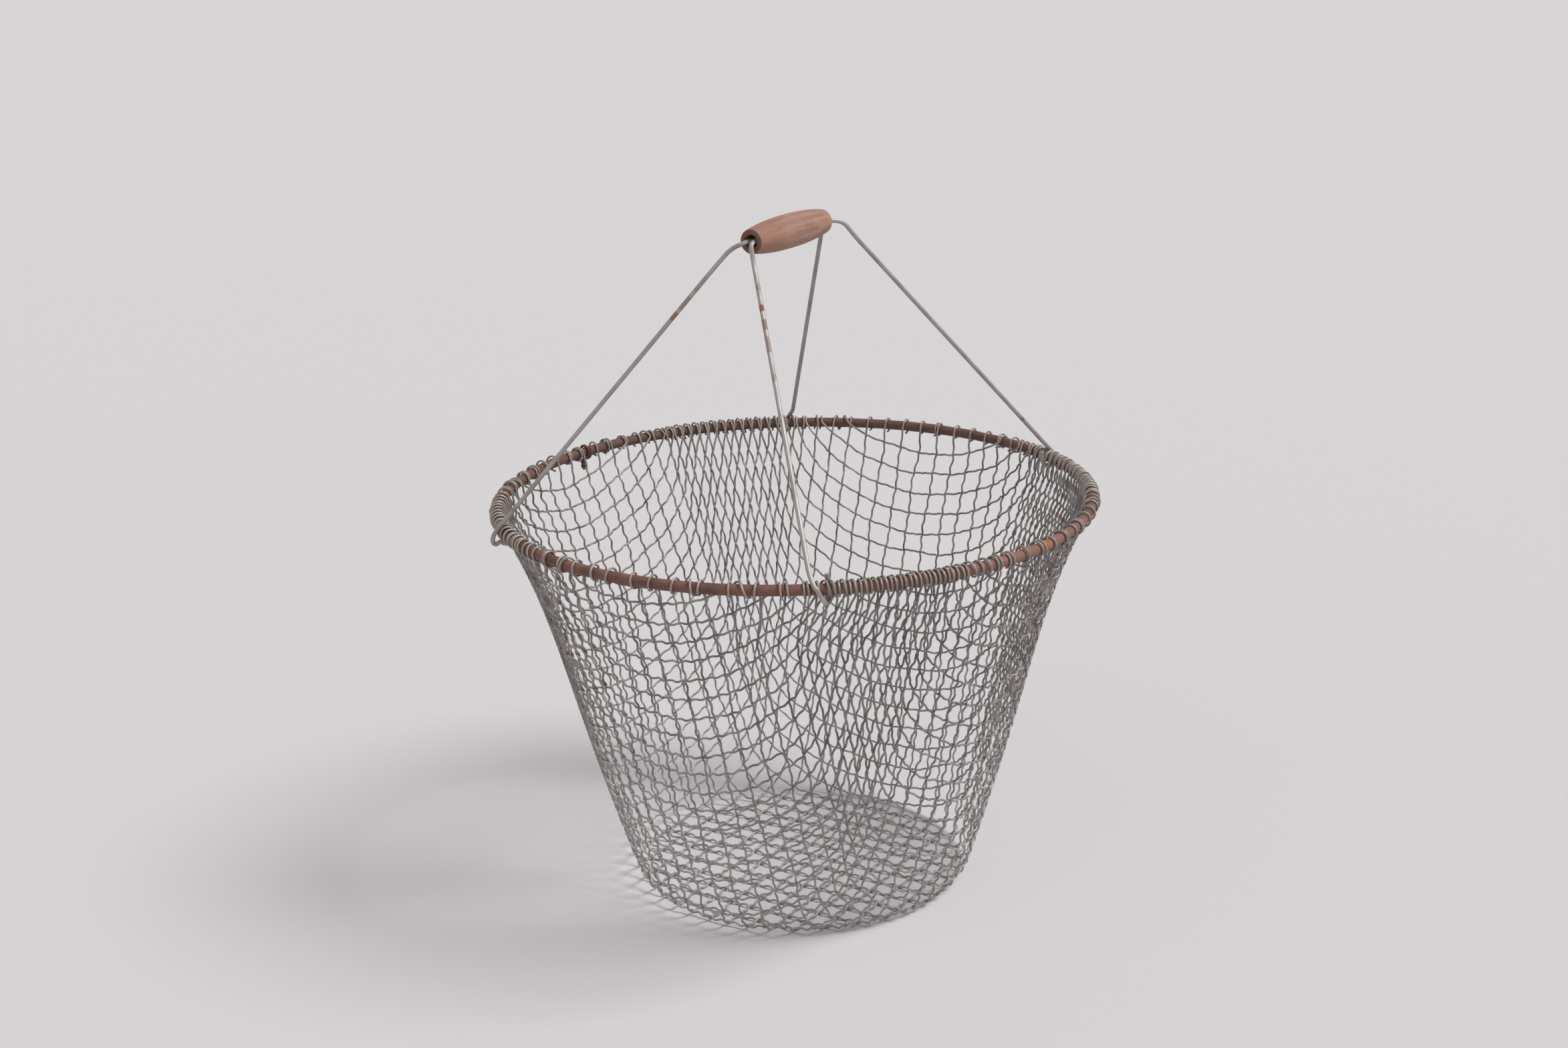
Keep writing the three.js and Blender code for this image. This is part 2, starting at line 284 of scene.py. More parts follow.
def zinc_finish(name, pale, dark, brown, metallic, painted_rim_light, paler_low_down=None, rust_and_reflection_spots=()):
    """Weathered zinc between two greys, stained brown, with painted light at the rim and a paler tone
    low down. Each listed spot is its place, its size and its strength; the bails' list holds rust and
    one painted reflection."""
    material, shader, place = new_finish(name)
    blotches = noise(place, 70)
    grain = noise(place, 900)
    stains_and_reflection = step_between(noise(place, 45, detail=4), 0.55, 0.75) * 0.55
    ragged = noise(place, 500, detail=4, roughness=0.7)
    # rust spots, and on one bail a painted reflection of the grip, join the stains
    for spot, size, strength in rust_and_reflection_spots:
        patch = near(place, spot, size * 0.6, size * 1.3) * 0.7 + ragged * 0.5
        stains_and_reflection = stains_and_reflection.math("MAXIMUM", stains_and_reflection, step_between(patch, 0.55, 0.85) * strength)
    grey = mix_colours(step_between(blotches * 0.7 + grain * 0.3, 0.36, 0.62), dark, pale)
    height = place.node("SeparateXYZ", {0: place}, output="Z")
    # paler towards the ground
    if paler_low_down:
        low_down = 1 - step_between(height, paler_low_down_up_to, paler_low_down_gone_from)
        grey = mix_colours(low_down * paler_low_down_share, grey, paler_low_down)
    # painted light: the wound ends at the rim are made paler and warmer, standing in for the light on
    # them
    painted_rim_light_mask = step_between(height, rim_height - painted_rim_light_depth, rim_height)
    grey = mix_colours(painted_rim_light_mask * (0.3 + blotches * 0.7), grey, painted_rim_light)
    feed(shader, "Base Color", mix_colours(stains_and_reflection, grey, brown))
    feed(shader, "Roughness", 0.4 + grain * 0.22 + stains_and_reflection * 0.25)
    feed(shader, "Metallic", metallic - metallic * stains_and_reflection)
    feed(shader, "Normal", bumped(grain, 0.25, 0.0002))
    return material


mesh_zinc = zinc_finish(
    "mesh_zinc",
    pale=(0.32, 0.294, 0.288, 1),
    dark=(0.148, 0.129, 0.125, 1),
    brown=(0.18, 0.126, 0.1, 1),
    metallic=0.35,
    # painted light on the wound ends at the rim
    painted_rim_light=(0.345, 0.298, 0.268, 1),
    # the paler tone towards the ground
    paler_low_down=(0.45, 0.428, 0.424, 1),
)
print("finish:", mesh_zinc.name)

# %% [markdown]
# ## Rusty iron
#
# The hoop is bare rod that has rusted to a dark brown, with lighter red-brown scale on top and a few
# fresh orange spots, one of them worn bright. Painted shade makes the side towards the back left an
# olive brown, and a painted highlight makes the side towards the front right paler. Rust is a loose
# oxide, so it is dull and hardly metallic, and it is rough enough to see: the bump stands for the
# grains, and the rod itself is pitted as geometry. How far round the rod a place is towards a side
# comes from a dot product with that side's direction, so the painted shade and highlight change
# slowly round the hoop.

# %% The finish of the hoop
rim_radius = 0.2265
# painted shade: the side of the hoop towards the back left is turned darker and olive
painted_shade_side = outward(math.radians(48))
painted_shade_from = -0.02
painted_shade_brown = (0.115, 0.066, 0.05, 1)
# painted highlight: the side of the hoop towards the front right is made paler
painted_light_side = outward(math.radians(246))
painted_light_from = 0.18
painted_light_brown = (0.3, 0.16, 0.125, 1)
# where the painted shade and the painted highlight reach full strength
painted_sides_full_from = 0.22
orange = (0.36, 0.15, 0.06, 1)
worn_azimuth = math.radians(-98)
worn_bright = 0.003
worn_edges = 0.009


def rust_finish(name, red_brown, dark_brown, painted_sides_share):
    """Scaly rust between two browns, with a share of painted shade on one side and painted highlight on
    the other, and fresh orange spots.
    """
    material, shader, place = new_finish(name)
    scale_patches = noise(place, 55, detail=5, roughness=0.65)
    grains = noise(place, 700, detail=4, roughness=0.7)
    fresh = step_between(noise(place, 28, detail=4), 0.71, 0.81)
    scaled = step_between(scale_patches * 0.7 + grains * 0.3, 0.38, 0.62)
    brown = mix_colours(scaled, dark_brown, red_brown)
    # painted shade on one side of the hoop, painted highlight on the other
    sides = ((painted_shade_side, painted_shade_brown, painted_shade_from), (painted_light_side, painted_light_brown, painted_light_from))
    for side, colour, low in sides:
        reach = place.node("VectorMath", {0: place, 1: side}, output="Value", operation="DOT_PRODUCT")
        brown = mix_colours(step_between(reach, low, painted_sides_full_from) * painted_sides_share, brown, colour)
    worn_spot = outward(worn_azimuth) * rim_radius + UP * rim_height
    fresh = fresh.math("MAXIMUM", fresh, near(place, worn_spot, worn_bright, worn_edges))
    feed(shader, "Base Color", mix_colours(fresh * 0.8, brown, orange))
    feed(shader, "Roughness", 0.66 + grains * 0.25)
    shader.inputs["Metallic"].default_value = 0.15
    feed(shader, "Normal", bumped(grains, 0.5, 0.0005))
    return material


hoop_rust = rust_finish(
    "hoop_rust", red_brown=(0.225, 0.108, 0.08, 1), dark_brown=(0.122, 0.062, 0.05, 1), painted_sides_share=0.65
)
print("finish:", hoop_rust.name)

# %% [markdown]
# ## The hoop
#
# The hoop is one round rod bent to a ring. A torus is that shape at once, but too perfect: old rod
# is pitted and not quite even. A Displace modifier moves its surface by a cloud texture, by a few
# tenths of a millimetre, and is applied so that the pits are real.

# %% Helpers that finish any piece


def only(piece):
    """Selects one piece and nothing else."""
    bpy.ops.object.select_all(action="DESELECT")
    piece.select_set(True)
    bpy.context.view_layer.objects.active = piece


def settle(piece, name, material, slot, body, *nodes):
    """Names a piece, moves its place into its mesh, dresses it and stands it in for its solids."""
    only(piece)
    bpy.ops.object.transform_apply(location=True, rotation=True, scale=True)
    bpy.ops.object.shade_smooth_by_angle(angle=math.radians(40))
    piece.name = name
    piece.data.materials.clear()
    piece.data.materials.append(material)
    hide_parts(*nodes)
    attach(piece, body)
    triangles = sum(len(face.vertices) - 2 for face in piece.data.polygons)
    print(name, "has", triangles, "triangles and stands for", len(nodes), "solids")


# %% Bend the rod into a hoop and pit it
rod_radius = 0.004

bpy.ops.object.select_all(action="DESELECT")
bpy.ops.mesh.primitive_torus_add(
    location=(0, 0, rim_height),
    major_radius=rim_radius,
    minor_radius=rod_radius,
    major_segments=256,
    minor_segments=18,
)
hoop = bpy.context.object
pits = bpy.data.textures.new("pits", "CLOUDS")
pits.noise_scale = 0.006
pitting = hoop.modifiers.new("pitting", "DISPLACE")
pitting.texture = pits
pitting.texture_coords = "LOCAL"
pitting.strength = 0.0006
only(hoop)
bpy.ops.object.modifier_apply(modifier="pitting")
settle(hoop, "rim_rod", hoop_rust, "rusty_iron", "basket", "rim_hoop")

# %% [markdown]
# ## The surface of the bucket
#
# The mesh lies on a flat round bottom and a flared wall, with a rounded corner between them. Below
# the rim the wall hangs in a little, so that it flares most at the top. It could be a mesh that the
# wires are wrapped on, but a formula is exact and needs no search. A place on the surface is given
# by an azimuth and a reach: the distance from the corner, up the wall or, below zero, inwards along
# the bottom. Both sets of wires weave about this one surface.

# %% A place on the bucket and its outward normal
wire_diameter = 0.0016
bottom_radius = 0.130
corner_reach = 0.012
wall_inset = 0.0068
inset_power = 2.4
crimp_height = wire_diameter / 2 + 0.00004
mesh_floor = crimp_height + wire_diameter / 2
wall_height = rim_height - mesh_floor
wall_slant = math.hypot(rim_radius - bottom_radius, wall_height)
sin_flare = (rim_radius - bottom_radius) / wall_slant
cos_flare = wall_height / wall_slant


def bucket_place(azimuth, reach):
    """The place at an azimuth and a reach, and the normal out of the bucket there."""
    along = max(-1, min(1, reach / corner_reach))
    rounded = (along + 1) / 2
    rest = reach - along * corner_reach
    up_wall = corner_reach * rounded**2 + max(0, rest)
    inwards = corner_reach * (1 - rounded) ** 2 - min(0, rest)
    hung_in = wall_inset * math.sin(math.pi * (up_wall / wall_slant) ** inset_power)
    radius = bottom_radius - inwards + up_wall * sin_flare - hung_in
    height = mesh_floor + up_wall * cos_flare
    slope = Vector((1 - rounded + rounded * sin_flare, rounded * cos_flare)).normalized()
    normal = outward(azimuth) * slope.y - UP * slope.x
    return outward(azimuth) * radius + UP * height, normal


flare = math.degrees(math.asin(sin_flare))
print("wall", round(wall_slant, 4), "m long, flared", round(flare, 1), "degrees")

# %% [markdown]
# ## How a flat net becomes a bucket
#
# A square net keeps the sides of its cells when it is drawn up, but not their angles. Near the four
# corners of the net the squares close up into narrow diamonds. On the flattened wall a wire turns
# steadily towards the rim, and is straight once it has run the bottom's radius. Marching along each
# wire in even steps, a whole number to a cell, puts every crossing on a point of the wire. On one
# side of the basket a last short weft lies close under the rod.

# %% The places along half of a wire, from the middle of its run to the rod
wires_each_side = 26
top_row_drop = 0.4
straight_top = 0.014
pitch = (bottom_radius + wall_slant - straight_top) / (wires_each_side - 0.5 + top_row_drop)
steps_to_a_cell = 12
march = pitch / steps_to_a_cell
corner_arc = bottom_radius / sin_flare


def half_wire(distance):
    """Azimuth and reach at each step along half of a wire at a distance from the middle one."""
    edge = math.sqrt(max(0, bottom_radius**2 - distance**2))
    turned = math.asin(min(1, distance / bottom_radius)) * sin_flare
    spot = outward(turned) * (corner_arc + max(0, distance - bottom_radius))
    run = 0
    places = []
    while spot.length - corner_arc < wall_slant:
        if run < edge:
            places.append((math.atan2(distance, run), math.hypot(distance, run) - bottom_radius))
        else:
            places.append((math.atan2(spot.y, spot.x) / sin_flare, spot.length - corner_arc))
        run += march
        on_wall = min(march, run - edge)
        if on_wall > 0:
            heading = (sin_flare - 1) * math.acos(min(1, (run - on_wall / 2) / bottom_radius))
            spot += outward(heading) * on_wall
    return places


half_wires = [half_wire((i + 0.5) * pitch) for i in range(wires_each_side)]
rod_row_drop = 0.0085
half_wires.append(half_wire(bottom_radius + wall_slant - rod_row_drop))
print("pitch", round(pitch * 1000, 2), "mm, steps in half wires", [len(half) for half in half_wires])

# %% [markdown]
# ## Room on the rod for every wire end
#
# The net brings its wire ends to the rod evenly on its four sides and crowded at its four corners.
# Near one corner the net was drawn to one side, and its ends lean that way. Each end needs a place
# of its own on the rod, and the hooks of the bails need theirs, so the ends push each other along
# the rod until all have room. Where there is room, a few are wound round twice.

# %% List the wires, and where the net brings their ends
hook_angles = {
    ("handle_bail_1", 1): math.radians(31.7),
    ("handle_bail_1", -1): math.radians(37),
    ("handle_bail_2", 1): math.radians(33),
    ("handle_bail_2", -1): math.radians(33.9),
}
over_windings = ("handle_bail_1", -1)
WARP = 0
WEFT = 1
groups = {
    (WARP, 1): range(wires_each_side),
    (WARP, -1): range(wires_each_side),
    (WEFT, 1): range(wires_each_side),
    (WEFT, -1): range(wires_each_side + 1),
}
hook_shift = 0.0036
leaning_corner = math.radians(209)
lean = math.radians(4)
lean_before = math.radians(10)
lean_after = math.radians(26)
draw = random.Random(7)


def end_azimuth(kind, side, half, end):
    """Where the net brings one wire end; side and end are 1 or -1."""
    azimuth = half[-1][0]
    along = end * math.cos(azimuth)
    away = side * math.sin(azimuth)
    return math.atan2(away, along) if kind == WARP else math.atan2(along, away)


def leaned(azimuth):
    """Where the same end is once the ends near one corner have leaned to one side."""
    from_corner = math.remainder(azimuth - leaning_corner, 2 * math.pi)
    spread = lean_before if from_corner < 0 else lean_after
    return azimuth + lean * math.exp(-((from_corner / spread) ** 2))


ends = []
for (kind, side), indexes in groups.items():
    for i in indexes:
        for end in (1, -1):
            azimuth = leaned(end_azimuth(kind, side, half_wires[i], end))
            ends.append([azimuth * rim_radius, (kind, side, i, end)])
for (bail, x_side), angle in hook_angles.items():
    if (bail, x_side) == over_windings:
        continue
    y_side = 1 if bail == "handle_bail_1" else -1
    azimuth = math.atan2(y_side * math.sin(angle), x_side * math.cos(angle))
    ends.append([azimuth * rim_radius + x_side * y_side * hook_shift, None])
ends.sort(key=lambda item: item[0])
print("wire ends and hooks on the rod:", len(ends))

# %% Push the ends apart until each has its own slot
slot_width = wire_diameter * 1.07
hook_room = 0.0035
passes = 400
girth = 2 * math.pi * rim_radius


def needed(first, second):
    """The least distance along the rod between two neighbours there."""
    return slot_width if first[1] and second[1] else hook_room


for _ in range(passes):
    for i, item in enumerate(ends):
        other = ends[(i + 1) % len(ends)]
        gap = (other[0] - item[0]) % girth
        short = needed(item, other) - gap
        if short > 0:
            share = 0.5 if item[1] and other[1] else 1
            if item[1]:
                item[0] -= short * share
            if other[1]:
                other[0] += short * share
gaps = [(ends[i][0] - ends[i - 1][0]) % girth * 1000 for i in range(len(ends))]
print("gaps between neighbours:", round(min(gaps), 2), "to", round(max(gaps), 2), "mm")

# %% Give each end its number of turns
slots = {}
for i, (place, wire) in enumerate(ends):
    if not wire:
        continue
    room_after = (ends[(i + 1) % len(ends)][0] - place) % girth
    room_before = (place - ends[i - 1][0]) % girth
    rings = min(draw.choice((1, 1, 1, 1, 2)), int(min(room_after, room_before) / (2 * slot_width)))
    slots[wire] = (place / rim_radius, max(1, rings), room_before, room_after)
print("wire ends:", len(slots), "wound twice:", sum(slot[1] > 1 for slot in slots.values()))

# %% [markdown]
# ## One woven wire
#
# A woven wire is crimped: it goes over one crossing and under the next, and here the crimping rolls
# made one more wave between two crossings. Its height over the bucket's surface is a sine with three
# half waves to a cell. It is full at each crossing, where the crossing wire's has the other sign, so
# the two touch. A real net isn't exact, so each wire also sways and wanders sideways a little.
#
# At the rod the wire lies against the inside of it, goes over the top, down the outside and under,
# and ends in a short tail. It was wound by hand, so a ring is loose, and where there is room it goes
# over the rod at the slant at which the wire came.

# %% Sideways wander that is the same on each run
wander_size = 0.0007
wander_lengths = (0.045, 0.08, 0.15)


def new_wander():
    """A smooth random function of the run along a wire, in metres."""
    waves = []
    for length in wander_lengths:
        size = draw.uniform(0.3, 1) * wander_size
        phase = draw.uniform(0, 2 * math.pi)
        waves.append((size, 2 * math.pi / length, phase))
    return lambda run: sum(size * math.sin(rate * run + phase) for size, rate, phase in waves)


def smooth_share(value, low, high):
    """From 0 at low to 1 at high, with a soft start and end."""
    share = max(0, min(1, (value - low) / (high - low)))
    return share * share * (3 - 2 * share)


print("a wire wanders", round(len(wander_lengths) * wander_size * 1000, 1), "mm aside at most")

# %% Wind an end round the rod
wrap_radius = rod_radius + wire_diameter / 2 + 0.0001
wrap_start = math.pi - math.asin(sin_flare)
wrap_step = math.radians(18)
ring_turn = 0.67
loosest = 0.0013
longest_slant = 0.002
longest_tail = 0.0045
crowded = 0.004
slant_turn = 2.4


def round_rod(azimuth, radius, angle):
    """A place at a radius from the middle of the rod, by its angle from outwards to up."""
    away = outward(azimuth) * (rim_radius + radius * math.cos(angle))
    return away + UP * (rim_height + radius * math.sin(angle))


def wound_end(azimuth, rings, room_before, room_after, slant):
    """Points round the rod, from the inside over the top, outside and under, to the cut tail."""
    way = 1 if slant > 0 or min(room_before, room_after) < crowded else -1
    room = room_after if way > 0 else room_before
    spare = smooth_share(room, slot_width * rings, slot_width * rings + 2 * longest_slant)
    slack = draw.uniform(0.3, 1) * loosest * (0.2 + 0.8 * spare)
    loose_at = math.radians(draw.uniform(30, 100))
    lead = slot_width + draw.uniform(-0.3, 1) * longest_slant * spare
    drift = min(abs(slant) * wrap_radius * slant_turn, max(0, room * 0.75 - slot_width * rings))
    turned_in_all = 2 * math.pi * (rings - 1 + ring_turn + draw.uniform(-0.04, 0.05))
    steps = math.ceil(turned_in_all / wrap_step)

    def around(turned, extra):
        angle = wrap_start - turned
        radius = wrap_radius + extra + slack * (1 + math.cos(angle - loose_at)) / 2
        moved = lead * turned / (2 * math.pi) + drift * (1 - math.exp(-turned / slant_turn))
        return round_rod(azimuth + way * moved / rim_radius, radius, angle)

    points = [around(turned_in_all * i / steps, 0) for i in range(1, steps + 1)]
    tail = longest_tail * (0.3 + draw.uniform(0, 0.7) * spare)
    tail_turn = tail / wrap_radius
    points.append(around(turned_in_all + tail_turn * 0.6, tail * 0.12))
    points.append(around(turned_in_all + tail_turn, tail * 0.4))
    return points


print("a ring of", round(2 * math.pi * wrap_radius * 1000, 1), "mm of wire goes round the rod")

# %% Lead half of a wire from the middle to its end on the rod
swerve_run = 0.06
rod_run = 0.022
sway_size = 0.00028
slant_steps = 14
waves = 3 * math.pi / pitch


def woven_half(kind, side, index, end, wander):
    """Points along half of a wire: worked out as a warp in the first quarter, then put in its place."""
    places = half_wires[index]
    slot_azimuth, rings, room_before, room_after = slots[(kind, side, index, end)]

    def in_place(v):
        if kind == WARP:
            return Vector((end * v.x, side * v.y, v.z))
        return Vector((side * v.y, end * v.x, v.z))

    shift = slot_azimuth - end_azimuth(kind, side, places, end)
    shift = math.remainder(shift, 2 * math.pi) * end * side
    if kind == WEFT:
        shift = -shift
    over = end if (index + (side < 0) + kind) % 2 else -end
    points = []
    for i, (azimuth, reach) in enumerate(places):
        run = i * march
        below = wall_slant - reach
        moved = azimuth + shift * (1 - smooth_share(below, 0, swerve_run))
        at, normal = bucket_place(moved, reach)
        later = places[min(i + 1, len(places) - 1)]
        sooner = places[max(i - 1, 0)]
        ahead = (bucket_place(*later)[0] - bucket_place(*sooner)[0]).normalized()
        across = normal.cross(ahead)
        on_net = smooth_share(below, 0, rod_run)
        height = over * crimp_height * math.sin(waves * run) * on_net
        height -= wrap_radius * (1 - on_net)
        sway = over * sway_size * math.cos(waves * run) + wander(end * run)
        points.append(in_place(at + normal * height + across * sway * on_net))
    arriving = points[-1] - points[-slant_steps]
    along_rod = arriving.dot(outward(slot_azimuth + math.pi / 2))
    slant = along_rod / math.sqrt(max(arriving.length_squared - along_rod**2, march**2))
    return points + wound_end(slot_azimuth, rings, room_before, room_after, slant)


def woven_wire(kind, side, index):
    """Points along a whole wire from rod to rod."""
    wander = new_wander()
    first = woven_half(kind, side, index, -1, wander)
    second = woven_half(kind, side, index, 1, wander)
    return first[:0:-1] + second


print("half waves to a cell:", round(waves * pitch / math.pi))

# %% [markdown]
# ## Round wires as meshes
#
# A wire could be a cylinder for each stretch, or a circle extruded step by step. A curve with a
# round bevel is the same thing in one go: Blender carries the circle along the points without
# twisting it. The curve is then converted to a mesh, so that what is seen is real geometry.

# %% Turn paths into round wires
tube_resolution = 2


def round_wires(name, paths, diameter):
    """One mesh object with a round wire along each path of points."""
    curve = bpy.data.curves.new(name, "CURVE")
    curve.dimensions = "3D"
    curve.bevel_depth = diameter / 2
    curve.bevel_resolution = tube_resolution
    curve.use_fill_caps = True
    for points in paths:
        spline = curve.splines.new("POLY")
        spline.points.add(len(points) - 1)
        for knot, at in zip(spline.points, points):
            knot.co = (*at, 1)
    piece = bpy.data.objects.new(name, curve)
    bpy.context.collection.objects.link(piece)
    only(piece)
    bpy.ops.object.convert(target="MESH")
    return bpy.context.object


print("a round wire has", 2 * tube_resolution + 4, "sides")

# %% Weave the four groups of wires
solid_pairs = 26


def pair_nodes(kind_name, side):
    """The names of the solids that a group of wires stands for."""
    middle = solid_pairs // 2
    numbers = range(middle + 1, solid_pairs + 1) if side > 0 else range(1, middle + 1)
    return [f"{kind_name}_pair_{number:02d}" for number in numbers]


for (kind, side), indexes in groups.items():
    kind_name = "warp" if kind == WARP else "weft"
    name = f"{kind_name}_wires_{'high' if side > 0 else 'low'}"
    paths = [woven_wire(kind, side, index) for index in indexes]
    wires = round_wires(name, paths, wire_diameter)
    settle(wires, name, mesh_zinc, "galvanised_wire", "basket", *pair_nodes(kind_name, side))

# %% [markdown]
# ## The bails
#
# Each bail is one length of thicker zinc-coated wire. From the grip it bends down to the rim, passes
# over the outside of the rod, turns under it and comes up inside as an open hook, sliding along the
# rod as it turns. It was bent by hand, so no two legs are alike, and one hook is squeezed to an eye
# over the windings. A leg is straight between its bends, so its corners are cut and rounded off. A
# hook has no straight part, so it is a smooth path through a few places round the rod.

# %% Bends in a wire: rounded corners, and a smooth path
bend_steps = 8
corner_pull = 0.67


def rounded(knots, cuts):
    """A path of straight runs, each corner rounded from a cut before it to a cut after it."""
    path = [knots[0]]
    for before, corner, after, cut in zip(knots, knots[1:], knots[2:], cuts):
        first = corner + (before - corner).normalized() * cut
        last = corner + (after - corner).normalized() * cut
        leaving = first.lerp(corner, corner_pull)
        arriving = last.lerp(corner, corner_pull)
        path += interpolate_bezier(first, leaving, arriving, last, bend_steps)
    return path


def through(knots):
    """A smooth path through knots, from the second to the last."""
    path = []
    for before, here, there, beyond in zip(knots, knots[1:], knots[2:], knots[3:] + knots[-1:]):
        leaving = here + (there - before) / 6
        arriving = there - (beyond - here) / 6
        path += interpolate_bezier(here, leaving, arriving, there, bend_steps)[:-1]
    return path + knots[-1:]


# %% One leg of a bail, from the grip's end to the tip of its hook
bail_diameter = 0.0035
bail_gap = 0.0015
grip_low, grip_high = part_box("wooden_grip")
grip_height = (grip_low.z + grip_high.z) / 2
on_rod = 0.0003
on_windings = 0.0022
millimetre = 0.001
legs = {}


def bend_leg(node, x_side, start, bends, slide, hook, seat_room=on_rod):
    """Keeps the points of a leg. Its bends are (outwards, aside, down, cut) from its start at the grip,
    it slides along the rim as it lands on the rod, and its hook's places are (outwards, up, along the
    rim) from the rod, all in millimetres."""
    y_side = 1 if node == "handle_bail_1" else -1
    hook_angle = hook_angles[(node, x_side)]
    rod = outward(hook_angle) * rim_radius + UP * rim_height
    seat = rod_radius + seat_room + bail_diameter / 2
    first = Vector((grip_high.x + start * millimetre, (bail_diameter + bail_gap) / 2, grip_height))
    knots = [first]
    for out, aside, down, _ in bends:
        knots.append(first + Vector((out, aside, -down)) * millimetre)
    away = rod - knots[-1]
    level = Vector((away.x, away.y, 0)).normalized()
    touch = math.atan2(-away.z, -away.dot(level)) - math.acos(seat / away.length)
    landing = rod + level * seat * math.cos(touch) + UP * seat * math.sin(touch)
    along_rim = outward(hook_angle + math.pi / 2)
    straight_end = knots[-1].lerp(landing, 0.95)
    points = rounded(knots + [straight_end], [bend[3] * millimetre for bend in bends])
    turns = [rod + (level * out + UP * up + along_rim * aside) * millimetre for out, up, aside in hook]
    landing += along_rim * slide * millimetre
    points += through([knots[-1].lerp(landing, 0.9), straight_end, landing] + turns)
    legs[(node, x_side)] = [Vector((x_side * p.x, y_side * p.y, p.z)) for p in points]


# %% Bend the four legs
plain_hook = (
    (5.8, 1.5, 2.5), (5.5, -2.5, 3.8), (3.7, -5.9, 5), (0.4, -7.3, 6),
    (-3.5, -6.5, 6.7), (-6.6, -3.2, 7), (-7.4, 1.2, 7), (-7.4, 5.5, 7),
)
slanting_hook = (
    (5.9, 1.4, 3.6), (5.7, -3, 5.6), (4.1, -7.2, 8.5), (1.4, -9.5, 11.1),
    (-2.2, -9.2, 13.2), (-5.8, -6.8, 14.6), (-7.3, -1, 14.3), (-7.3, 4, 13.6), (-7.2, 8.5, 12.9),
)
eye_hook = (
    (9.2, 0.8, 0.3), (10.7, -3.4, 0.6), (10.2, -6.2, 0.9), (8.4, -7.4, 1.1),
    (6.5, -6.5, 1.4), (4.9, -6, 1.7), (2.2, -7.4, 2), (-1, -7.8, 2.3), (-4, -6.7, 2.5),
)
front_bends = ((4.5, 0.3, 0.7, 4.3), (5, 2.9, 14.8, 8))
right_bends = ((4, 0.4, 0, 3), (13, 7.5, 1.5, 6), (20, 14, 14, 8))
back_bends = ((9, 3, 1.5, 6), (11.5, 6.5, 13.5, 7))
left_bends = ((4, 0.5, 0.3, 3.5), (11, 8, 4, 6), (20, 17, 17, 8))
bend_leg("handle_bail_2", -1, 0, front_bends, 1.6, slanting_hook)
bend_leg("handle_bail_2", 1, 0, right_bends, 0.8, plain_hook)
bend_leg("handle_bail_1", 1, 0, back_bends, 3, plain_hook)
bend_leg("handle_bail_1", -1, -1, left_bends, 0, eye_hook, seat_room=on_windings)
print("points on each leg:", [len(points) for points in legs.values()])

# %% Dress the bails, with rust where the zinc is worn through, and one painted reflection
leg_rust_and_reflection = (
    ("handle_bail_2", -1, 0.469, 0.0036, 1.0),
    ("handle_bail_2", -1, 0.459, 0.0055, 0.7),
    ("handle_bail_2", -1, 0.447, 0.0075, 0.45),
    ("handle_bail_1", -1, 0.461, 0.0042, 0.9),
    ("handle_bail_1", -1, 0.47, 0.0065, 0.5),
    ("handle_bail_1", -1, 0.483, 0.0075, 0.35),
    # painted reflection: the brown where this leg enters the grip's bore is the wood seen in the wire,
    # not rust
    ("handle_bail_1", -1, 0.5085, 0.004, 0.45),
    ("handle_bail_2", 1, 0.3405, 0.0026, 0.8),
)


def leg_place(node, x_side, height):
    """The place on a leg at a height."""
    points = legs[(node, x_side)]
    for higher, lower in zip(points, points[1:]):
        if lower.z <= height < higher.z:
            return higher.lerp(lower, (higher.z - height) / (higher.z - lower.z))


bail_zinc = zinc_finish(
    "bail_zinc",
    pale=(0.44, 0.405, 0.395, 1),
    dark=(0.23, 0.21, 0.203, 1),
    brown=(0.235, 0.125, 0.085, 1),
    metallic=0.25,
    painted_rim_light=(0.36, 0.33, 0.315, 1),
    rust_and_reflection_spots=[
        (leg_place(node, x_side, height), size, strength)
        for node, x_side, height, size, strength in leg_rust_and_reflection
    ],
)
for node in ("handle_bail_1", "handle_bail_2"):
    whole_bail = legs[(node, -1)][::-1] + legs[(node, 1)]
    bail = round_wires(node + "_wire", [whole_bail], bail_diameter)
    settle(bail, node + "_wire", bail_zinc, "bail_wire", "basket", node)

# %% [markdown]
# ## A rusty tie
#
# A scrap of bare wire is wound round the hoop and twisted off, with its two ends hanging. They are
# two more paths for round wires: one is a helix about the rod that then falls in a tight twist, and
# the other is the second strand of the twist.

# %% Wind the tie and let its end hang
tie_azimuth = math.radians(81.3)
tie_diameter = 0.0022
tie_turns = 1.4
tie_step = math.radians(20)
tie_lead = 0.0024
tie_drop = 0.0085
tie_twists = 1.25
twist_steps = 12
tie_clearance = 0.0004


def tie_paths():
    """One strand from the inside round the rod and down below it, and one that hangs beside it."""
    radius = rod_radius + tie_diameter / 2 + tie_clearance
    steps = math.ceil(tie_turns * 2 * math.pi / tie_step)
    points = []
    for i in range(steps + 1):
        turned = tie_turns * 2 * math.pi * i / steps
        angle = turned - math.pi / 2 - tie_turns * 2 * math.pi
        moved = tie_lead * turned / (2 * math.pi)
        points.append(round_rod(tie_azimuth + moved / rim_radius, radius, angle))
    strands = []
    aside = outward(tie_azimuth + math.pi / 2) * tie_diameter / 2
    outwards = outward(tie_azimuth) * tie_diameter / 2
    between = points[-1] + aside
    for side in (-1, 1):
        strand = []
        for i in range(twist_steps + 1):
            angle = tie_twists * 2 * math.pi * i / twist_steps
            twist = (aside * math.cos(angle) - outwards * math.sin(angle)) * side
            strand.append(between + twist - UP * tie_drop * i / twist_steps)
        strands.append(strand)
    return [points[:-1] + strands[0], strands[1]]


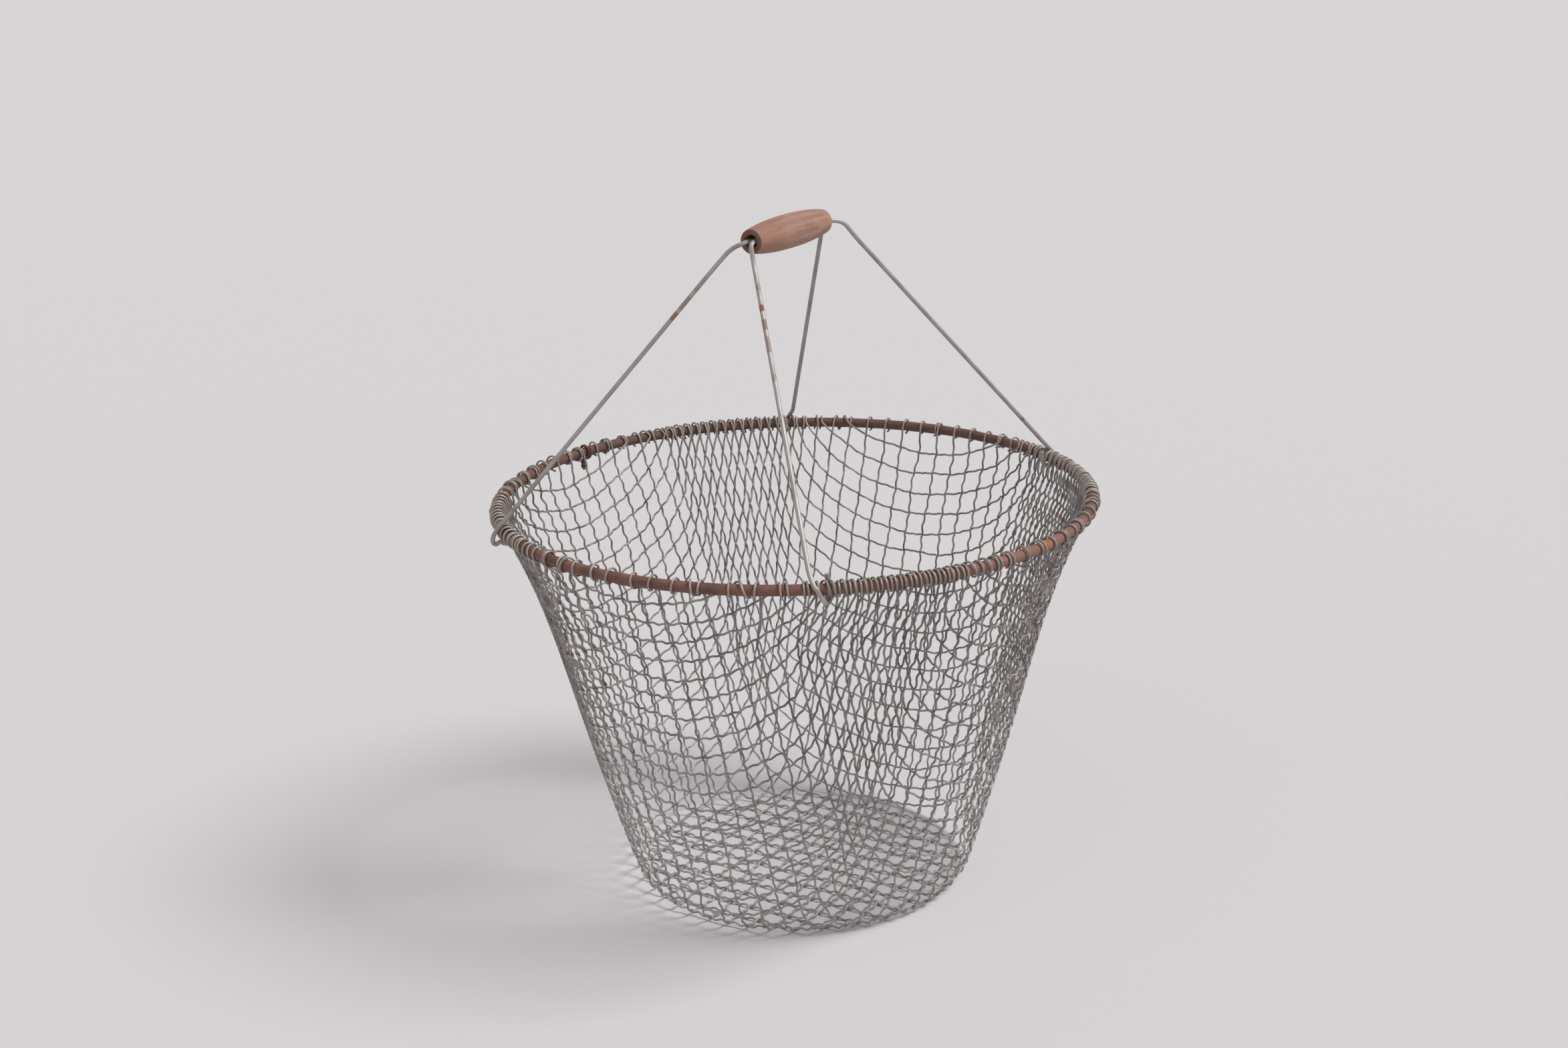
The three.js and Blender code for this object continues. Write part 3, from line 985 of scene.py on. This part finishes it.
tie = round_wires("rusty_tie", tie_paths(), tie_diameter)
tie_rust = rust_finish(
    "tie_rust", red_brown=(0.165, 0.068, 0.04, 1), dark_brown=(0.085, 0.035, 0.023, 1), painted_sides_share=0
)
settle(tie, "rusty_tie", tie_rust, "rusty_iron", "basket")

# %% [markdown]
# ## Turned wood
#
# The grip is a plain hardwood barrel, dry and hand-worn. Its grain runs along the lathe's axis, so
# the noise that makes it is stretched many times along X. Fine dark pores are a second, thinner
# noise that also dents the surface. One end has kept more of its red, and the sawn ends show end
# grain, which is darker.

# %% The finish of the grip
dark_wood = (0.255, 0.132, 0.091, 1)
pale_wood = (0.405, 0.228, 0.165, 1)
red_wood = (0.3, 0.14, 0.088, 1)
pore_brown = (0.15, 0.07, 0.045, 1)
end_grain = (0.12, 0.055, 0.032, 1)
end_grain_depth = 0.0012
red_up_to = -0.045
brown_from = 0.01


def wood_finish(length):
    """Dry turned wood with its grain along X, a redder end towards -X, and dark sawn ends."""
    material, shader, place = new_finish("grip_wood")
    streaks = noise(stretched(place, (16, 330, 330)), 1, detail=5, roughness=0.6)
    pores = noise(stretched(place, (80, 1900, 1900)), 1, detail=2)
    pore_mask = step_between(pores, 0.6, 0.72)
    worn = noise(place, 45, detail=4)
    along = place.node("SeparateXYZ", {0: place}, output="X")
    from_middle = along.node("Math", {0: along}, operation="ABSOLUTE")
    end_mask = step_between(from_middle, length / 2 - end_grain_depth, length / 2 - end_grain_depth / 3)
    tone = step_between(streaks * 0.6 + worn * 0.4, 0.36, 0.64)
    wood = mix_colours(tone, dark_wood, pale_wood)
    redder = 1 - step_between(along, red_up_to, brown_from)
    wood = mix_colours(redder * 0.5, wood, red_wood)
    wood = mix_colours(pore_mask * 0.45, wood, pore_brown)
    feed(shader, "Base Color", mix_colours(end_mask * 0.75, wood, end_grain))
    feed(shader, "Roughness", 0.5 + worn * 0.2 + pore_mask * 0.15)
    feed(shader, "Normal", bumped(1 - pore_mask, 0.4, 0.0003))
    return material


grip_length = grip_high.x - grip_low.x
grip_wood = wood_finish(grip_length)
print("finish:", grip_wood.name)

# %% [markdown]
# ## The grip
#
# On a lathe a profile is turned about an axis. By hand in Blender that is a circle that is extruded
# ring by ring, each ring moved along and resized: over the end face, round the edge, along the
# swelling barrel, over the other end, and back through the bore, where the last ring is bridged
# to the first.

# %% Turn the grip
grip_middle = 0.0127
grip_end = 0.0089
grip_swell = 2.3
crisp_edge = 0.001
worn_edge = 0.003
bore_radius = 0.005
bore_edge = 0.0006
edge_steps = 5
barrel_steps = 20
lathe_sides = 48
grip_half = grip_length / 2


def barrel_radius(x):
    """The radius of the swelling barrel at a distance from its middle."""
    return grip_end + (grip_middle - grip_end) * (1 - abs(x / grip_half) ** grip_swell)


def edge_rings(edge):
    """(distance from the end, radius) from the bore at one end, over the face and round its edge."""
    rings = [(bore_edge, bore_radius), (0, bore_radius + bore_edge)]
    for i in range(edge_steps):
        angle = math.pi / 2 * i / edge_steps
        from_end = edge * (1 - math.cos(angle))
        rings.append((from_end, barrel_radius(from_end - grip_half) - edge * (1 - math.sin(angle))))
    return rings


def grip_profile():
    """(x, radius) from the bore at -X, over the barrel, to the bore at +X."""
    rings = [(from_end - grip_half, radius) for from_end, radius in edge_rings(crisp_edge)]
    for i in range(barrel_steps + 1):
        x = crisp_edge - grip_half + (grip_length - crisp_edge - worn_edge) * i / barrel_steps
        rings.append((x, barrel_radius(x)))
    return rings + [(grip_half - from_end, radius) for from_end, radius in edge_rings(worn_edge)[::-1]]


rings = grip_profile()
bpy.ops.object.select_all(action="DESELECT")
bpy.ops.mesh.primitive_circle_add(
    vertices=lathe_sides,
    radius=rings[0][1],
    location=(rings[0][0], 0, grip_height),
    rotation=(0, math.pi / 2, 0),
)
grip = bpy.context.object
bpy.ops.object.transform_apply(location=True, rotation=True, scale=True)
bpy.ops.object.mode_set(mode="EDIT")
bpy.ops.mesh.select_all(action="SELECT")
for (x, radius), (next_x, next_radius) in zip(rings, rings[1:]):
    growth = next_radius / radius
    bpy.ops.mesh.extrude_region_move(TRANSFORM_OT_translate={"value": (next_x - x, 0, 0)})
    bpy.ops.transform.resize(value=(1, growth, growth), center_override=(next_x, 0, grip_height))
bpy.ops.object.mode_set(mode="OBJECT")
for edge in grip.data.edges:
    places = [grip.data.vertices[i].co for i in edge.vertices]
    from_axis = [math.hypot(p.y, p.z - grip_height) for p in places]
    edge.select = max(from_axis) < bore_radius + bore_edge / 2
bpy.ops.object.mode_set(mode="EDIT")
bpy.ops.mesh.bridge_edge_loops()
bpy.ops.mesh.select_all(action="SELECT")
bpy.ops.mesh.normals_make_consistent(inside=False)
bpy.ops.object.mode_set(mode="OBJECT")
settle(grip, "turned_grip", grip_wood, "grip_wood", "grip", "wooden_grip")
